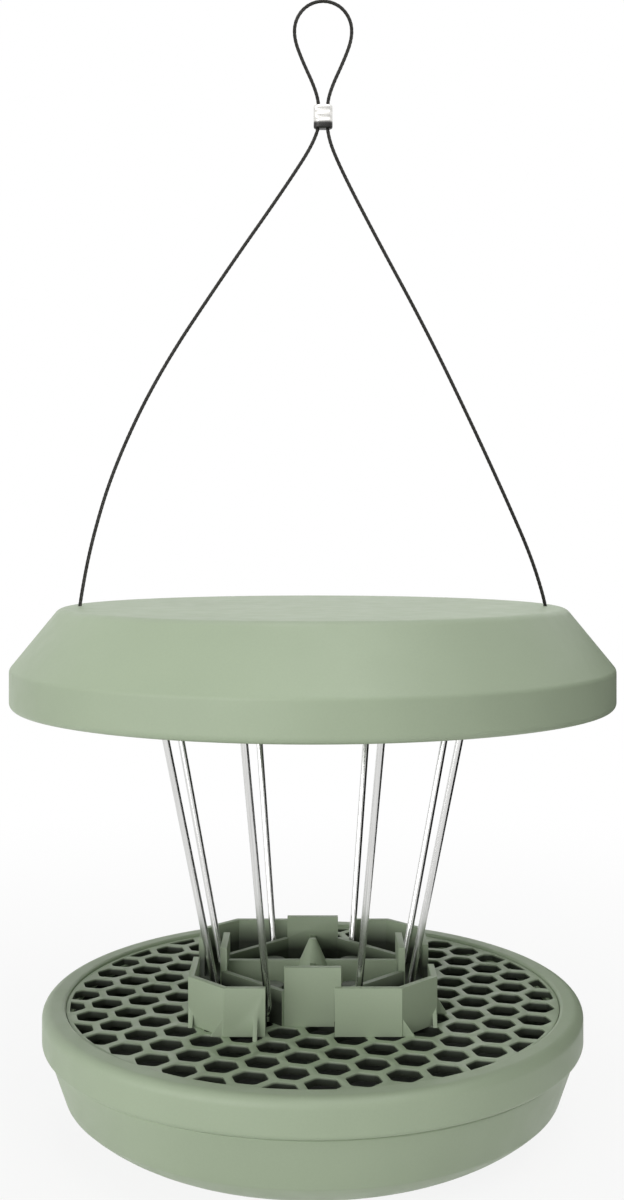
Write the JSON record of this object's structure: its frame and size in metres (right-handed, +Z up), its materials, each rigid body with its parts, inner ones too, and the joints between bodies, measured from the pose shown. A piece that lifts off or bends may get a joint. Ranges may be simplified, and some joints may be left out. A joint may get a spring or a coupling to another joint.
{
  "type": "fat ball feeder",
  "caption": "Round hanging bird feeder: a roof on leaning steel wires over a honeycomb tray with a crumb bowl, hung from a steel cable with a crimped loop.",
  "frame": {"origin": "centre of the crumb bowl's flat base", "axes": "+Z up along the feeder's axis; the cable's two holes lie along X, and -Y is the pictured front"},
  "size_m": [0.2, 0.2, 0.3752],
  "materials": {
    "green_plastic": "matt moulded",
    "wire_steel": "bright drawn wire",
    "screw_steel": "plain",
    "cable_steel": "twisted wire rope",
    "crimp_metal": "pressed"
  },
  "bodies": {
    "bowl": {"crumb_bowl": "green_plastic"},
    "tray": {"tray_rim": "green_plastic", "honeycomb_grid": "green_plastic", "wire_hub": "green_plastic", "hub_screws": "screw_steel"},
    "cage": {"front_right_wire": "wire_steel", "rear_right_wire": "wire_steel", "rear_left_wire": "wire_steel", "front_left_wire": "wire_steel", "wire_carrier": "green_plastic", "carrier_screws": "screw_steel", "roof_shell": "green_plastic", "left_end_stop": "crimp_metal", "right_end_stop": "crimp_metal", "left_cable_tail": "cable_steel", "right_cable_tail": "cable_steel"},
    "hanger": {"hanger_cable": "cable_steel", "loop_ferrule": "crimp_metal"}
  },
  "joints": [
    {"name": "grid_lift", "type": "slide", "parent": "bowl", "child": "tray", "axis": [0, 0, 1], "range_m": [0, 0.06]},
    {"name": "cage_lift", "type": "slide", "parent": "tray", "child": "cage", "axis": [0, 0, 1], "range_m": [0, 0.05]},
    {"name": "hanger_swing", "type": "hinge", "parent": "cage", "child": "hanger", "pos_m": [0, 0, 0.1718], "axis": [1, 0, 0], "range_deg": [-75, 75], "stiffness_Nm_per_rad": 0.02}
  ]
}
